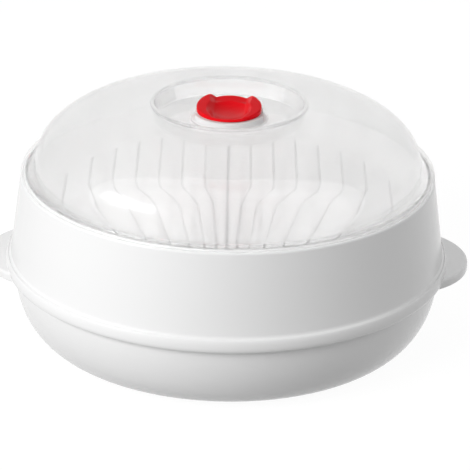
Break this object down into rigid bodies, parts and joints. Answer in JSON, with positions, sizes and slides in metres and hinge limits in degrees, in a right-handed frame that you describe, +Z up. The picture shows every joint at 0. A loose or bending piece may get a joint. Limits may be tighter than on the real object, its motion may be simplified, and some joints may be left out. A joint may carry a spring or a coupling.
{
  "type": "microwave steamer",
  "caption": "Microwave steamer: a water bowl, a slotted steam tray with side ears, a clear domed lid and a turning vent knob.",
  "frame": {"origin": "centre of the face that the bowl stands on", "axes": "+Z up along the axis of the round pieces, X through the two ears"},
  "size_m": [0.272, 0.2482, 0.1365],
  "materials": {
    "white_plastic": "glossy moulded polypropylene",
    "clear_plastic": "frosted clear moulded polypropylene",
    "red_plastic": "glossy moulded polypropylene"
  },
  "bodies": {
    "steamer": {"bowl": "white_plastic", "steam_tray": "white_plastic", "lid": "clear_plastic"},
    "knob": {"vent_knob": "red_plastic"}
  },
  "joints": [
    {"name": "vent_turn", "type": "hinge", "parent": "steamer", "child": "knob", "pos_m": [0, 0, 0.1291], "axis": [0, 0, 1], "range_deg": [-85, 5]}
  ]
}
